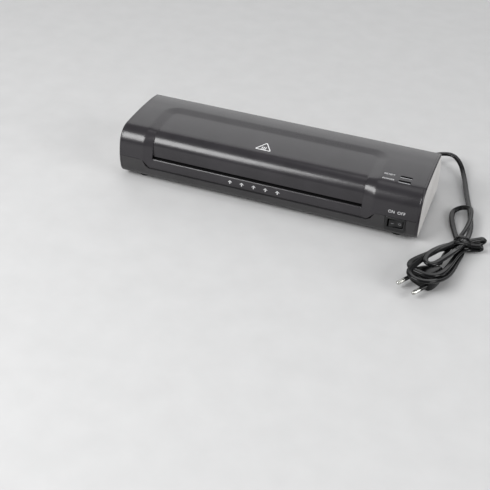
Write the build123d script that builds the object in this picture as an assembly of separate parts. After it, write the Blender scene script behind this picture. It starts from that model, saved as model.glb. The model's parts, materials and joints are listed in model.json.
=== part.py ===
from build123d import *
import math
import os

# A4 pouch laminator, millimetres. X runs along the machine, +Y to the rear, +Z up.
# The origin is at the middle of the footprint, on the surface that the feet stand on.

# ---- driving dimensions ----
LENGTH = 325.0  # over the end caps
CAP_THICKNESS = 3.0
UNDERSIDE = 4.0  # height of the casing's underside, so also of the feet
WALL = 3.4  # casing wall where nothing is recessed
PANEL_DEPTH = 1.8  # how far the centre panel lies below the outer surface
SEAM = 0.4  # open line between cover and base
TOLERANCE = 0.1  # side clearance of fitted pieces

PANEL_LEFT, PANEL_RIGHT = -124.5, 103.5  # flat part of the centre panel
BAND = 10.5  # width of the sloped band beside the panel
PANEL_REAR, BAND_REAR = 5.0, 17.5  # where the slope up to the rear starts and ends

SLOT_LOW, SLOT_HIGH = 29.5, 34.5  # entry and exit slots, above the surface
SEAM_HIGH, SEAM_LOW = 27.3, 17.6  # seam height beside and below the feed strip
SEAM_STEP = 8.0  # length over which the seam changes height

ROLLER_Y = 1.5  # both rollers lie in one vertical plane
NIP_Z = 32.0
ROLLER_SPACING = 17.0
LOWER_Z, UPPER_Z = NIP_Z - ROLLER_SPACING / 2, NIP_Z + ROLLER_SPACING / 2
SLEEVE_RADIUS, CORE_RADIUS, JOURNAL_RADIUS = 8.3, 4.0, 3.0
RUNNING = 0.06  # radial clearance of a shaft in its bore
SLEEVE_LEFT, SLEEVE_RIGHT = -128.5, 107.5
PLATE_LEFT, PLATE_RIGHT, PLATE_THICKNESS = -132.5, 111.5, 2.0  # middles of the side plates

MODULE = 1.0
ROLLER_TEETH, PINION_TEETH = 17, 14
GEAR_X, GEAR_WIDTH = 114.0, 6.0
BACKLASH = 0.3
PRESSURE_ANGLE = math.radians(20)
PINION_Y = ROLLER_Y + MODULE * (ROLLER_TEETH + PINION_TEETH) / 2
MOTOR_Y, MOTOR_Z, MOTOR_RADIUS = 19.5, 29.0, 20.0
BRACKET_X, BRACKET_THICKNESS = 122.0, 1.5

SWITCH_X, SWITCH_Z = 139.2, 19.05  # middle of the switch
BEZEL_LENGTH, BEZEL_HEIGHT, BEZEL_THICKNESS = 21.4, 16.1, 2.0
BEZEL_FRONT = -56.0
ROCKER_X, ROCKER_PIVOT_Y, ROCKER_Z = 139.6, -50.5, 20.1
TRUNNION_RADIUS, TRUNNION_LENGTH = 1.2, 10.0  # the rocker's pivot pins
ROCKER_TILT = 8.0  # to either side of the middle

CORD_WIDTH = 5.6
CORD_RADIUS = CORD_WIDTH / 2
CORD_EXIT = (140.0, 82.0, 13.0)  # rear end of the strain relief
TIE = (206.0, -43.5)  # where the cord's bundle is tied
BUNDLE_AXIS = math.radians(255)  # direction of the bundle's long loops from the tie
PLUG_AXIS = math.radians(240)  # direction in which the plug's pins point
PLUG_FACE = (178.7, -121.1)
PLUG_Z = 7.4

BODY_END = LENGTH / 2 - CAP_THICKNESS  # half length of the casing between its caps
SLOT_LEFT, SLOT_RIGHT = PANEL_LEFT - 0.5, PANEL_RIGHT
BOSSES = [(-148, -34), (-148, 36), (120, -34), (151, 36)]  # screw bosses, x and y
BOSS_RADIUS, BOSS_SPLIT = 4.0, 20.0  # split: height where the two halves of a boss meet
LENSES = {"power_lens": (139.5, -35.3, 3.5), "ready_lens": (139.5, -27.0, 3.0)}  # x, y, width
LENS_LENGTH = 12.0
FLOOR = UNDERSIDE + WALL  # inside of the base
FEET = [(-140, -38), (-140, 40), (140, -38), (140, 40)]  # x and y

SLOT_WIDTH = 12.0  # guide slot of the bearing blocks
ROD_PLACES = [(-22, 14), (-22, 46), (29, 14), (29, 44)]  # tie rods, y and z
FRAME_FRONT, FRAME_REAR, FRAME_TOP = -28.0, 35.0, 50.5
INNER_LEFT = PLATE_LEFT + PLATE_THICKNESS / 2
INNER_RIGHT = PLATE_RIGHT - PLATE_THICKNESS / 2
BLOCK_HALF = 5.6  # half height of a bearing block
RING_X = PLATE_LEFT - 4.2  # retaining rings
SHAFT_LEFT, SHAFT_RIGHT = PLATE_LEFT - 5.5, GEAR_X + GEAR_WIDTH + 1.2

MOTOR_SHAFT_RADIUS = 2.5
SPACERS = [(30.5, 37), (21, 11.6), (8, 11)]  # y and z
MOTOR_SCREWS = [(31, 30), (27, 17), (12, 40)]  # y and z
GEARBOX_X = BRACKET_X + BRACKET_THICKNESS

PIN_SPACING, PIN_LENGTH, PIN_RADIUS = 19.0, 19.0, 2.0
PLUG_LENGTH = 31.0

PARTS = "parts"


# ---- helpers ----
def solid_of(shape):
    """The one solid in a result, or the whole compound if it holds several."""
    solids = shape.solids()
    return solids[0] if len(solids) == 1 else Compound(solids)


def save(name, shape):
    export_step(solid_of(shape), os.path.join(PARTS, name + ".step"))


def box(x0, x1, y0, y1, z0, z1):
    return Pos((x0 + x1) / 2, (y0 + y1) / 2, (z0 + z1) / 2) * Box(x1 - x0, y1 - y0, z1 - z0)


def rod(x0, x1, y, z, radius):
    """A round bar along X."""
    return Pos((x0 + x1) / 2, y, z) * Rot(0, 90, 0) * Cylinder(radius, x1 - x0)


def post(x, y, z0, z1, radius):
    return Pos(x, y, (z0 + z1) / 2) * Cylinder(radius, z1 - z0)


def section_plane(x):
    """A plane across the machine: its own x is +Y and its own y is +Z."""
    return Plane(origin=(x, 0, 0), x_dir=(0, 1, 0), z_dir=(1, 0, 0))


def bar_of(face, x0, x1):
    """A (Y, Z) section drawn out from x0 to x1."""
    return extrude(section_plane(x0) * face, x1 - x0)


def polygon(*points):
    return make_face(Polyline(*points, close=True))


def joined(shapes):
    total = shapes[0]
    for shape in shapes[1:]:
        total = total + shape
    return total


# ---- casing ----
def casing_outline(inset=0.0):
    """Section of the casing; inset lowers the front and the centre panel, not the rear."""
    front = ThreePointArc((-54.4 + inset, 13.8), (-55.7 + inset, 28), (-53.6 + inset, 43.5))
    brow = ThreePointArc(front @ 1, (-48.1 + 0.8 * inset, 52.0 - 0.6 * inset), (-36.5, 57.2 - inset))
    panel = ThreePointArc(brow @ 1, (-16, 58.2 - inset), (PANEL_REAR, 58.35 - inset))
    slope = Line(panel @ 1, (BAND_REAR, 58.0))
    top = ThreePointArc(slope @ 1, (30, 57.1), (38.4, 55.9))
    edge = ThreePointArc(top @ 1, (39.7, 55.3), (40.5, 54.2))
    rear = ThreePointArc(edge @ 1, (50.4, 31), (56.6, 8.5))
    heel = ThreePointArc(rear @ 1, (56.1, 5.3), (53.2, UNDERSIDE))
    floor = Line(heel @ 1, (-46.0, UNDERSIDE))
    toe = ThreePointArc(floor @ 1, (-51.5 + inset * 0.5, 7.6), front @ 0)
    return make_face([front, brow, panel, slope, top, edge, rear, heel, floor, toe])


def cavity_outline():
    return offset(casing_outline(), -WALL, kind=Kind.INTERSECTION)


def below_seam(drop):
    """Everything under the line where cover and base meet; drop opens that line."""
    high, low = SEAM_HIGH - drop, SEAM_LOW - drop
    left, right = PANEL_LEFT - BAND + 3, PANEL_RIGHT + BAND
    outline = Polyline(
        (-LENGTH, -10),
        (-LENGTH, high),
        (left - SEAM_STEP / 2, high),
        (left, low + 2.5),
        (left + SEAM_STEP / 2, low),
        (right - SEAM_STEP / 2, low),
        (right, low + 2.5),
        (right + SEAM_STEP / 2, high),
        (LENGTH, high),
        (LENGTH, -10),
        close=True,
    )
    face = Plane(origin=(0, 80, 0), x_dir=(1, 0, 0), z_dir=(0, -1, 0)) * make_face(outline)
    return extrude(face, 160)


def casing_shell(recessed):
    """The casing between its caps, hollow and open at both ends."""
    outer, panel = casing_outline(), casing_outline(PANEL_DEPTH)
    if recessed:
        left, right = PANEL_LEFT - BAND, PANEL_RIGHT + BAND
        pieces = [
            bar_of(outer, -BODY_END, left),
            loft([section_plane(left) * outer, section_plane(PANEL_LEFT) * panel], ruled=True),
            bar_of(panel, PANEL_LEFT, PANEL_RIGHT),
            loft([section_plane(PANEL_RIGHT) * panel, section_plane(right) * outer], ruled=True),
            bar_of(outer, right, BODY_END),
        ]
        body = joined(pieces)
    else:
        body = bar_of(outer, -BODY_END, BODY_END)
    return body - bar_of(cavity_outline(), -LENGTH, LENGTH)


def make_top_cover():
    cover = casing_shell(True) - below_seam(0)
    cover -= box(SLOT_LEFT, SLOT_RIGHT, -80, -40, SLOT_LOW, SLOT_HIGH)
    cover -= box(SLOT_LEFT, SLOT_RIGHT, 40, 80, SLOT_LOW, SLOT_HIGH)
    for x, y in BOSSES:
        boss = post(x, y, BOSS_SPLIT + SEAM, 60, BOSS_RADIUS) & bar_of(cavity_outline(), -LENGTH, LENGTH)
        cover += boss - post(x, y, 0, BOSS_SPLIT + 16, 1.4)
    for x, y, width in LENSES.values():
        cover -= box(x - LENS_LENGTH / 2, x + LENS_LENGTH / 2, y - width / 2, y + width / 2, 45, 70)
    return cover


def make_base_shell():
    base = casing_shell(False) & below_seam(SEAM)
    for x, y in BOSSES:
        base += post(x, y, FLOOR - 1, BOSS_SPLIT, BOSS_RADIUS)
        base -= post(x, y, 0, 14, 3.1)
        base -= post(x, y, 0, BOSS_SPLIT + 1, 1.8)
    # bezel pocket, switch opening and the hole of the strain relief
    base -= box(*span(SWITCH_X, BEZEL_LENGTH + 2 * TOLERANCE), -60, BEZEL_FRONT + BEZEL_THICKNESS,
                SWITCH_Z - BEZEL_HEIGHT / 2 - TOLERANCE, SEAM_HIGH + 1)
    base -= box(*span(SWITCH_X, 18.8), -60, -40, *span(SWITCH_Z, 13.8))
    base -= Pos(CORD_EXIT[0], 55, CORD_EXIT[2]) * Rot(90, 0, 0) * Cylinder(4.1, 20)
    # two rows of air slots under the rollers
    for row in (-24, 26):
        for index in range(12):
            x = -110 + index * 16
            base -= box(x, x + 10, row - 1.25, row + 1.25, 0, 10)
    return base


def span(middle, length):
    return middle - length / 2, middle + length / 2


def make_end_cap(side):
    """A flat plate on the casing's end, with a rim that goes inside the casing."""
    edge = 0.6
    face = offset(casing_outline(), -edge, kind=Kind.INTERSECTION)
    plate = bar_of(face, BODY_END, LENGTH / 2 - edge)
    smaller = offset(casing_outline(), -2 * edge, kind=Kind.INTERSECTION)
    plate += bar_of(smaller, LENGTH / 2 - edge, LENGTH / 2)
    rim = offset(casing_outline(), -WALL - 0.15, kind=Kind.INTERSECTION)
    inner = offset(casing_outline(), -WALL - 1.8, kind=Kind.INTERSECTION)
    plate += bar_of(rim, BODY_END - 3, BODY_END) - bar_of(inner, BODY_END - 3, BODY_END)
    return plate if side > 0 else mirror(plate, about=Plane.YZ)


def make_feet():
    foot = Cylinder(6, UNDERSIDE) - Pos(0, 0, -1) * Cylinder(2.5, UNDERSIDE - 2)
    foot = chamfer(foot.edges().filter_by(GeomType.CIRCLE).sort_by(Axis.Z)[0], 0.5)
    return Compound([Pos(x, y, UNDERSIDE / 2) * foot for x, y in FEET])


def make_case_screws():
    screws = []
    for x, y in BOSSES:
        screws.append(post(x, y, 14 - 2.2, 14, 2.8) + post(x, y, 14, 34, 1.3))
    return Compound(screws)


# ---- switch and lenses ----
def make_switch_body():
    half_z = BEZEL_HEIGHT / 2
    body = box(*span(SWITCH_X, BEZEL_LENGTH), BEZEL_FRONT, BEZEL_FRONT + BEZEL_THICKNESS,
               SWITCH_Z - half_z, SWITCH_Z + half_z)
    body = chamfer(body.faces().sort_by(Axis.Y)[0].edges(), 0.5)
    body += box(*span(SWITCH_X, 18.4), BEZEL_FRONT + BEZEL_THICKNESS, -37, *span(SWITCH_Z, 13.4))
    body -= box(*span(ROCKER_X, 16.0), -60, -44, *span(ROCKER_Z, 8.9))
    bore = Cylinder(TRUNNION_RADIUS + RUNNING, TRUNNION_LENGTH + 0.4)
    body -= Pos(ROCKER_X, ROCKER_PIVOT_Y, ROCKER_Z) * bore
    return body


def make_rocker():
    """Shallow V on top, ends clear of the bezel at both tilts, pressed down on its right."""
    outline = polygon((-6.9, 5.2), (-1.0, 4.2), (1.0, 4.2), (6.9, 5.2),
                      (7.3, -0.5), (3.5, -4.5), (-3.5, -4.5), (-7.3, -0.5))
    plane = Plane(origin=(0, 0, 0), x_dir=(1, 0, 0), z_dir=(0, 0, -1))
    block = extrude(plane * outline, 4.1, both=True)
    block = chamfer(block.edges().filter_by(Axis.Z).sort_by(Axis.Y)[:2], 0.3)
    block += Cylinder(TRUNNION_RADIUS, TRUNNION_LENGTH)
    return Pos(ROCKER_X, ROCKER_PIVOT_Y, ROCKER_Z) * Rot(0, 0, ROCKER_TILT) * block


def make_terminals():
    return Compound([box(*span(SWITCH_X + dx, 0.8), -37, -29, *span(SWITCH_Z, 4.8)) for dx in (-6, 0, 6)])


def make_lens(name):
    x, y, width = LENSES[name]
    gap = 0.15
    window = box(*span(x, LENS_LENGTH - 2 * gap), *span(y, width - 2 * gap), 53.2, 60)
    window &= bar_of(offset(casing_outline(), -0.25, kind=Kind.INTERSECTION), -BODY_END, BODY_END)
    return window + box(*span(x, LENS_LENGTH + 1.5), *span(y, width + 1.2), 52.2, 53.2)


def make_led_board():
    board = box(126.5, 155, -41, -21, 45, 46.6)
    for x, y in ((129, -38), (152.5, -38), (129, -24), (152.5, -24)):
        board -= post(x, y, 40, 50, 1.2)
    return board


def make_leds():
    lamps = []
    for x, y, _ in LENSES.values():
        lamps.append(post(x, y, 46.6, 50.2, 1.4) + post(x, y, 46.6, 47.4, 1.8))
    return Compound(lamps)


# ---- roller frame ----


def make_side_plate(x):
    outline = polygon(
        (FRAME_FRONT, FLOOR), (FRAME_REAR, FLOOR), (FRAME_REAR, 42), (FRAME_REAR - 8, FRAME_TOP),
        (FRAME_FRONT + 6, FRAME_TOP), (FRAME_FRONT, 44),
    )
    plate = bar_of(outline, *span(x, PLATE_THICKNESS))
    plate -= rod(x - 5, x + 5, ROLLER_Y, LOWER_Z, 6)
    plate -= box(x - 5, x + 5, *span(ROLLER_Y, SLOT_WIDTH), UPPER_Z - 6.2, 60)
    for y, z in ROD_PLACES:
        plate -= rod(x - 5, x + 5, y, z, 1.5)
    inward = -1 if x > 0 else 1
    tab = sorted((x, x + inward * 11))
    return plate + box(*tab, -26, -12, FLOOR, FLOOR + 1.5) + box(*tab, 12, 26, FLOOR, FLOOR + 1.5)


def rods_between(x0, x1, radius):
    return [rod(x0, x1, y, z, radius) for y, z in ROD_PLACES]


def make_tie_rods():
    bars = rods_between(INNER_LEFT, INNER_RIGHT, 2.5)
    threads = rods_between(INNER_LEFT, INNER_LEFT + 8, 1.3) + rods_between(INNER_RIGHT - 8, INNER_RIGHT, 1.3)
    return Compound([solid_of(bar - joined(threads)) for bar in bars])


def make_frame_screws():
    screws = []
    for x, way in ((PLATE_LEFT, -1), (PLATE_RIGHT, 1)):
        face = x + way * PLATE_THICKNESS / 2
        for y, z in ROD_PLACES:
            head = rod(*sorted((face, face + way * 1.8)), y, z, 2.6)
            screws.append(head + rod(*sorted((face, face - way * 8)), y, z, 1.25))
    return Compound(screws)


def make_bushes():
    bushes = []
    for x, inward in ((PLATE_LEFT, 1), (PLATE_RIGHT, -1)):
        flange = sorted((x + inward * 1.0, x + inward * 2.2))
        bush = rod(x - 1.6, x + 1.6, ROLLER_Y, LOWER_Z, 6) + rod(*flange, ROLLER_Y, LOWER_Z, 7.4)
        bushes.append(bush - rod(x - 5, x + 5, ROLLER_Y, LOWER_Z, JOURNAL_RADIUS + RUNNING))
    return Compound(bushes)


def make_bearing_blocks():
    blocks = []
    for x in (PLATE_LEFT, PLATE_RIGHT):
        z0, z1 = UPPER_Z - BLOCK_HALF, UPPER_Z + BLOCK_HALF
        block = box(x - 1.8, x + 1.8, *span(ROLLER_Y, SLOT_WIDTH - 0.2), z0, z1)
        gap = PLATE_THICKNESS / 2 + 0.1
        block += box(x - 1.8, x - gap, *span(ROLLER_Y, 15), z0, z1)
        block += box(x + gap, x + 1.8, *span(ROLLER_Y, 15), z0, z1)
        blocks.append(block - rod(x - 5, x + 5, ROLLER_Y, UPPER_Z, JOURNAL_RADIUS + RUNNING))
    return Compound([solid_of(block) for block in blocks])


def make_spring_bridges():
    """Straps over the guide slots, which the nip springs push against."""
    straps = []
    for x in (PLATE_LEFT, PLATE_RIGHT):
        strap = box(x - 3, x + 3, ROLLER_Y - 11, ROLLER_Y + 11, FRAME_TOP + 1, FRAME_TOP + 2.2)
        for way in (-1, 1):
            y0, y1 = sorted((ROLLER_Y + way * 7, ROLLER_Y + way * 11))
            strap += box(x - 3, x + 3, y0, y1, FRAME_TOP, FRAME_TOP + 1)
        straps.append(solid_of(strap))
    return Compound(straps)


def make_nip_springs():
    """Closed coils stand in for the compression springs: a short hollow post each."""
    springs = []
    for x in (PLATE_LEFT, PLATE_RIGHT):
        low, high = UPPER_Z + BLOCK_HALF, FRAME_TOP + 1
        springs.append(post(x, ROLLER_Y, low, high, 2.3) - post(x, ROLLER_Y, low - 1, high + 1, 1.5))
    return Compound([solid_of(spring) for spring in springs])


def make_sleeve(z):
    return rod(SLEEVE_LEFT, SLEEVE_RIGHT, ROLLER_Y, z, SLEEVE_RADIUS) - rod(
        SLEEVE_LEFT - 1, SLEEVE_RIGHT + 1, ROLLER_Y, z, CORE_RADIUS)


def make_roller_shaft(z):
    shaft = rod(SHAFT_LEFT, SHAFT_RIGHT, ROLLER_Y, z, JOURNAL_RADIUS)
    shaft += rod(SLEEVE_LEFT - 1, SLEEVE_RIGHT + 0.8, ROLLER_Y, z, CORE_RADIUS)
    x0, x1 = RING_X - 0.4, RING_X + 0.4
    groove = rod(x0, x1, ROLLER_Y, z, 4) - rod(x0, x1, ROLLER_Y, z, 2.4)
    return shaft - groove


def make_retaining_ring(z):
    ring = rod(RING_X - 0.4, RING_X + 0.4, ROLLER_Y, z, 5) - rod(RING_X - 1, RING_X + 1, ROLLER_Y, z, 2.4)
    return ring - box(RING_X - 1, RING_X + 1, *span(ROLLER_Y, 4), z, z + 8)


def make_heat_shell(z, way):
    """A thin half tube beside a roller, on the side away from the nip."""
    shell = rod(INNER_LEFT + 3, INNER_RIGHT - 3, ROLLER_Y, z, 11.5) - rod(
        INNER_LEFT, INNER_RIGHT, ROLLER_Y, z, 10)
    low, high = sorted((z + way * 2.6, z + way * 20))
    return shell & box(-200, 200, -50, 50, low, high)


def make_heater_pad(z, way):
    pad = rod(-112, 92, ROLLER_Y, z, 12.5) - rod(-113, 93, ROLLER_Y, z, 11.5)
    low, high = sorted((z + way * 9, z + way * 20))
    return pad & box(-200, 200, -50, 50, low, high)


def make_guide(y_wide, y_nip, way):
    """A plate that leads the pouch between slot and nip, above (+1) or below (-1) it."""
    wide, narrow, thick = NIP_Z + way * 3.0, NIP_Z + way * 1.1, way * 1.4
    outline = polygon((y_wide, wide), (y_nip, narrow), (y_nip, narrow + thick), (y_wide, wide + thick))
    return bar_of(outline, INNER_LEFT, INNER_RIGHT)


# ---- drive ----
def involute(angle):
    return math.tan(angle) - angle


def gear_outline(teeth, phase):
    """Involute teeth with backlash; one tooth points at the phase angle."""
    pitch_radius = MODULE * teeth / 2
    base_radius = pitch_radius * math.cos(PRESSURE_ANGLE)
    tip_radius, root_radius = pitch_radius + 0.85 * MODULE, pitch_radius - 1.25 * MODULE
    half_at_pitch = (math.pi * MODULE / 2 - BACKLASH) / (2 * pitch_radius)

    def half_angle(radius):
        pressure = math.acos(min(1.0, base_radius / radius))
        return half_at_pitch + involute(PRESSURE_ANGLE) - involute(pressure)

    start = max(base_radius, root_radius + 0.05)
    radii = [root_radius] + [start + (tip_radius - start) * step / 3 for step in range(4)]
    flank = [(radius, half_angle(max(radius, start))) for radius in radii]
    points = []
    for index in range(teeth):
        middle = phase + 2 * math.pi * index / teeth
        points += [(radius, middle - half) for radius, half in flank]
        points += [(radius, middle + half) for radius, half in reversed(flank)]
    return make_face(Polyline(*[(r * math.cos(a), r * math.sin(a)) for r, a in points], close=True))


def make_gear(teeth, phase, y, z, bore):
    gear = bar_of(Pos(y, z) * gear_outline(teeth, phase), GEAR_X, GEAR_X + GEAR_WIDTH)
    return gear - rod(GEAR_X - 1, GEAR_X + GEAR_WIDTH + 1, y, z, bore)


# the lower roller's gear has a tooth straight up; its fourth tooth on lies nearest the pinion
FOURTH_TOOTH = math.pi / 2 - 4 * 2 * math.pi / ROLLER_TEETH
PINION_PHASE = math.pi - FOURTH_TOOTH * ROLLER_TEETH / PINION_TEETH + math.pi / PINION_TEETH


def make_motor_shaft():
    return rod(GEAR_X - 0.6, BRACKET_X + 5, PINION_Y, LOWER_Z, MOTOR_SHAFT_RADIUS)


def make_motor_bracket():
    outline = polygon((4, 9), (36, 9), (36, 42), (30, 48), (8, 48), (8, 34), (4, 30))
    bracket = bar_of(outline, BRACKET_X, BRACKET_X + BRACKET_THICKNESS)
    bracket -= rod(120, 125, PINION_Y, LOWER_Z, MOTOR_SHAFT_RADIUS + 1)
    for y, z in MOTOR_SCREWS:
        bracket -= rod(120, 125, y, z, 1.3)
    return bracket


def make_motor_spacers():
    plate_face = PLATE_RIGHT + PLATE_THICKNESS / 2
    return Compound([rod(plate_face, BRACKET_X, y, z, 2.4) for y, z in SPACERS])


def make_gearbox():
    body = rod(GEARBOX_X, GEARBOX_X + 8, MOTOR_Y, MOTOR_Z, MOTOR_RADIUS + 1)
    body -= rod(GEARBOX_X - 1, GEARBOX_X + 4.2, PINION_Y, LOWER_Z, MOTOR_SHAFT_RADIUS + RUNNING)
    for y, z in MOTOR_SCREWS:
        body -= rod(GEARBOX_X - 1, GEARBOX_X + 5, y, z, 1.2)
    return body


def make_motor_can():
    can = rod(GEARBOX_X + 8, GEARBOX_X + 23, MOTOR_Y, MOTOR_Z, MOTOR_RADIUS)
    return chamfer(can.faces().sort_by(Axis.X)[-1].edges(), 1.2)


def make_motor_screws():
    screws = []
    for y, z in MOTOR_SCREWS:
        head = rod(BRACKET_X - 1.5, BRACKET_X, y, z, 2.2)
        screws.append(head + rod(BRACKET_X, GEARBOX_X + 4.5, y, z, 1.15))
    return Compound(screws)


# ---- electrics ----
def make_thermostat():
    return rod(-46, -34, 19.6, UPPER_Z, 4.4) + box(-52, -28, 14.0, 15.2, UPPER_Z - 3, UPPER_Z + 3)


def make_thermal_fuse():
    fuse = rod(-18, -6, 16.4, UPPER_Z + 2, 1.8)
    return fuse + rod(-30, 6, 16.4, UPPER_Z + 2, 0.6)


def make_terminal_block():
    block = box(147, 155, -20, 1, FLOOR, FLOOR + 9)
    for index in range(3):
        y = -16.5 + index * 7
        block -= post(151, y, FLOOR + 4, FLOOR + 12, 1.9)
        block -= rod(140, 160, y, FLOOR + 3.5, 1.3)
    return block


def pipe(points, radius, bend):
    path = FilletPolyline(*points, radius=bend)
    start = Plane(origin=path @ 0, z_dir=path % 0)
    return sweep(start * Circle(radius), path=path)


def make_inner_wires():
    """Strain relief to terminal block, block to switch, and switch to the heaters."""
    radius, bend, low = 1.1, 2.0, FLOOR + 1.4
    x_out, x_in = SWITCH_X - 6, SWITCH_X + 6
    supply = pipe([(140, 44.2, 12), (149, 44.2, 12), (157, 41, 12), (157, 12, 12), (151, 4.5, 11.5),
                   (151, 1.2, 11.5)], radius, bend)
    feed = pipe([(150, -10, 17.8), (150, -10, 25), (x_in, -18, 24), (x_in, -24, SWITCH_Z),
                 (x_in, -28.8, SWITCH_Z)], radius, bend)
    heater = pipe([(x_out, -28.8, SWITCH_Z), (x_out, -22, SWITCH_Z), (x_out, -16, low), (116, -12, low)],
                  radius, bend)
    return Compound([solid_of(wire) for wire in (supply, feed, heater)])


# ---- mains lead ----
def make_strain_relief():
    """A tapered, ribbed boot, held in the rear wall."""
    x, y_end, z = CORD_EXIT
    plane = Plane(origin=(x, 45.5, z), x_dir=(1, 0, 0), z_dir=(0, 1, 0))
    rings = [(0.0, 5.2), (2.6, 5.2), (2.7, 4.0), (12.0, 4.0), (12.1, 5.4), (15.0, 5.4), (15.1, 4.6)]
    outline = [(0, 0)] + [(radius, along) for along, radius in rings]
    outline += [(3.6, y_end - 45.5), (0, y_end - 45.5)]
    turned = revolve(Plane.XZ * make_face(Polyline(*outline, close=True)), Axis.Z)
    boot = plane.location * turned
    for index in range(3):
        y = 64.5 + index * 5
        boot -= box(x - 6, x + 6, y, y + 1.6, z + 3.2, z + 6) + box(x - 6, x + 6, y, y + 1.6, z - 6, z - 3.2)
    return boot


LEAD_ROUTE = [
    CORD_EXIT,
    (140.0, 98.0, 13.0),
    (144.5, 112.5, 11.5),
    (154.5, 121.5, 11.5),
    (167.0, 121.5, 13.0),
    (177.0, 112.0, 9.5),
    (184.0, 97.0, 4.6),
    (190.8, 72.0, 3.2),
    (196.6, 48.4, 3.0),
    (202.0, 30.0, 3.1),
    (206.0, 12.0, 3.0),
    (208.8, -4.0, 3.1),
    (209.4, -18.0, 3.8),
    (208.8, -30.5, 5.6),
    (207.1, -41.7, 8.0),
]
LOOP_ROUTE = [
    (202.1, -40.4, 4.5),
    (197.0, -26.0, 3.5),
    (191.5, -10.0, 3.0),
    (187.4, 4.5, 3.2),
    (186.0, 17.0, 3.0),
    (188.8, 23.7, 3.6),
    (195.5, 26.5, 6.2),
    (202.2, 23.7, 8.9),
    (205.0, 15.5, 9.6),
    (206.6, 1.0, 9.8),
    (206.2, -14.0, 10.8),
    (204.6, -28.0, 11.8),
    (202.3, -40.4, 11.9),
]


def cord_tube(route, label):
    """A round tube on straight runs that arcs join, each arc as large as its runs allow."""
    points = [Vector(*point) for point in route]
    radii = []
    for before, here, after in zip(points, points[1:], points[2:]):
        turn = math.radians((here - before).get_angle(after - here))
        shorter = min((here - before).length, (after - here).length)
        radii.append(0.45 * shorter / math.tan(turn / 2))
    path = FilletPolyline(*points, radius=radii)
    start = Plane(origin=path @ 0, z_dir=path % 0)
    tube = sweep(start * Circle(CORD_RADIUS), path=path)
    ratio = tube.volume / (math.pi * CORD_RADIUS**2 * path.length)
    print(label, "length", round(path.length, 1), "volume ratio", round(ratio, 4))
    print(label, "radii", [round(radius, 1) for radius in radii])
    return tube


def bundle_point(along, across, height=0.0):
    """A point given along and across the bundle's long axis from the tie."""
    cosine, sine = math.cos(BUNDLE_AXIS), math.sin(BUNDLE_AXIS)
    return (TIE[0] + along * cosine - across * sine, TIE[1] + along * sine + across * cosine, height)


BUNDLE_LOCATION = Location(bundle_point(0, 0), (0, 0, math.degrees(BUNDLE_AXIS)))


def make_cord_hank():
    """Outer shape of the long loops: they rise from the tie and lie on the plug."""
    neck = 7.4
    outline = Spline((-2, neck), (5, neck), (32, 16), (66, 21), (93, 12), (96, -2), (86, -18),
                     (58, -21), (28, -13), (5, -neck), (-2, -neck))
    plan = make_face(outline + Line((-2, -neck), (-2, neck)))
    side = polygon((-2, 1.6), (3, 1.6), (5, 0.6), (47, 0.6), (47, 15.2), (99, 15.2), (99, 24),
                   (70, 27), (40, 24), (3, 14.8), (-2, 14.8))
    upright = Plane(origin=(0, 40, 0), x_dir=(1, 0, 0), z_dir=(0, -1, 0))
    shape = extrude(plan, 40) & extrude(upright * side, 80)
    return BUNDLE_LOCATION * shape


def make_cord_folds():
    """Outer shape of the short folds on the other side of the tie."""
    plan = polygon((-2, 3.6), (-2, 10), (0, 24.5), (-9, 25), (-22, 19.5), (-24, 13), (-10, 5))
    return BUNDLE_LOCATION * (Pos(0, 0, 0.4) * extrude(plan, 13.6))


def make_cord_tie():
    """A flat band round the bundle's waist."""
    band = box(-2, 2, -9.2, 9.2, 0.2, 16.2) - box(-3, 3, -8.0, 8.0, 1.4, 15.0)
    return BUNDLE_LOCATION * band


PLUG_LOCATION = Location((*PLUG_FACE, PLUG_Z), (0, 0, math.degrees(PLUG_AXIS)))


def make_plug_body():
    """Flat two-pin plug: wide at its face, narrow where the lead leaves it."""
    outline = polygon((0, 12), (-5, 14.5), (-20, 13), (-PLUG_LENGTH, 5), (-PLUG_LENGTH, -5), (-20, -13),
                      (-5, -14.5), (0, -12))
    body = extrude(outline, 6.6, both=True)
    body = chamfer(body.edges().filter_by(Plane.XY), 2.0)
    for side in (-1, 1):
        body -= Pos(-4, side * PIN_SPACING / 2, 0) * Rot(0, 90, 0) * Cylinder(PIN_RADIUS, 12)
    return PLUG_LOCATION * body


def make_plug_pins():
    pins = []
    for side in (-1, 1):
        pin = Pos((PIN_LENGTH - 9) / 2, side * PIN_SPACING / 2, 0) * Rot(0, 90, 0) * Cylinder(
            PIN_RADIUS, PIN_LENGTH + 9)
        tip = pin.faces().sort_by(Axis.X)[-1].edges()
        pins.append(PLUG_LOCATION * chamfer(tip, 0.8))
    return Compound([solid_of(pin) for pin in pins])


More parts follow.
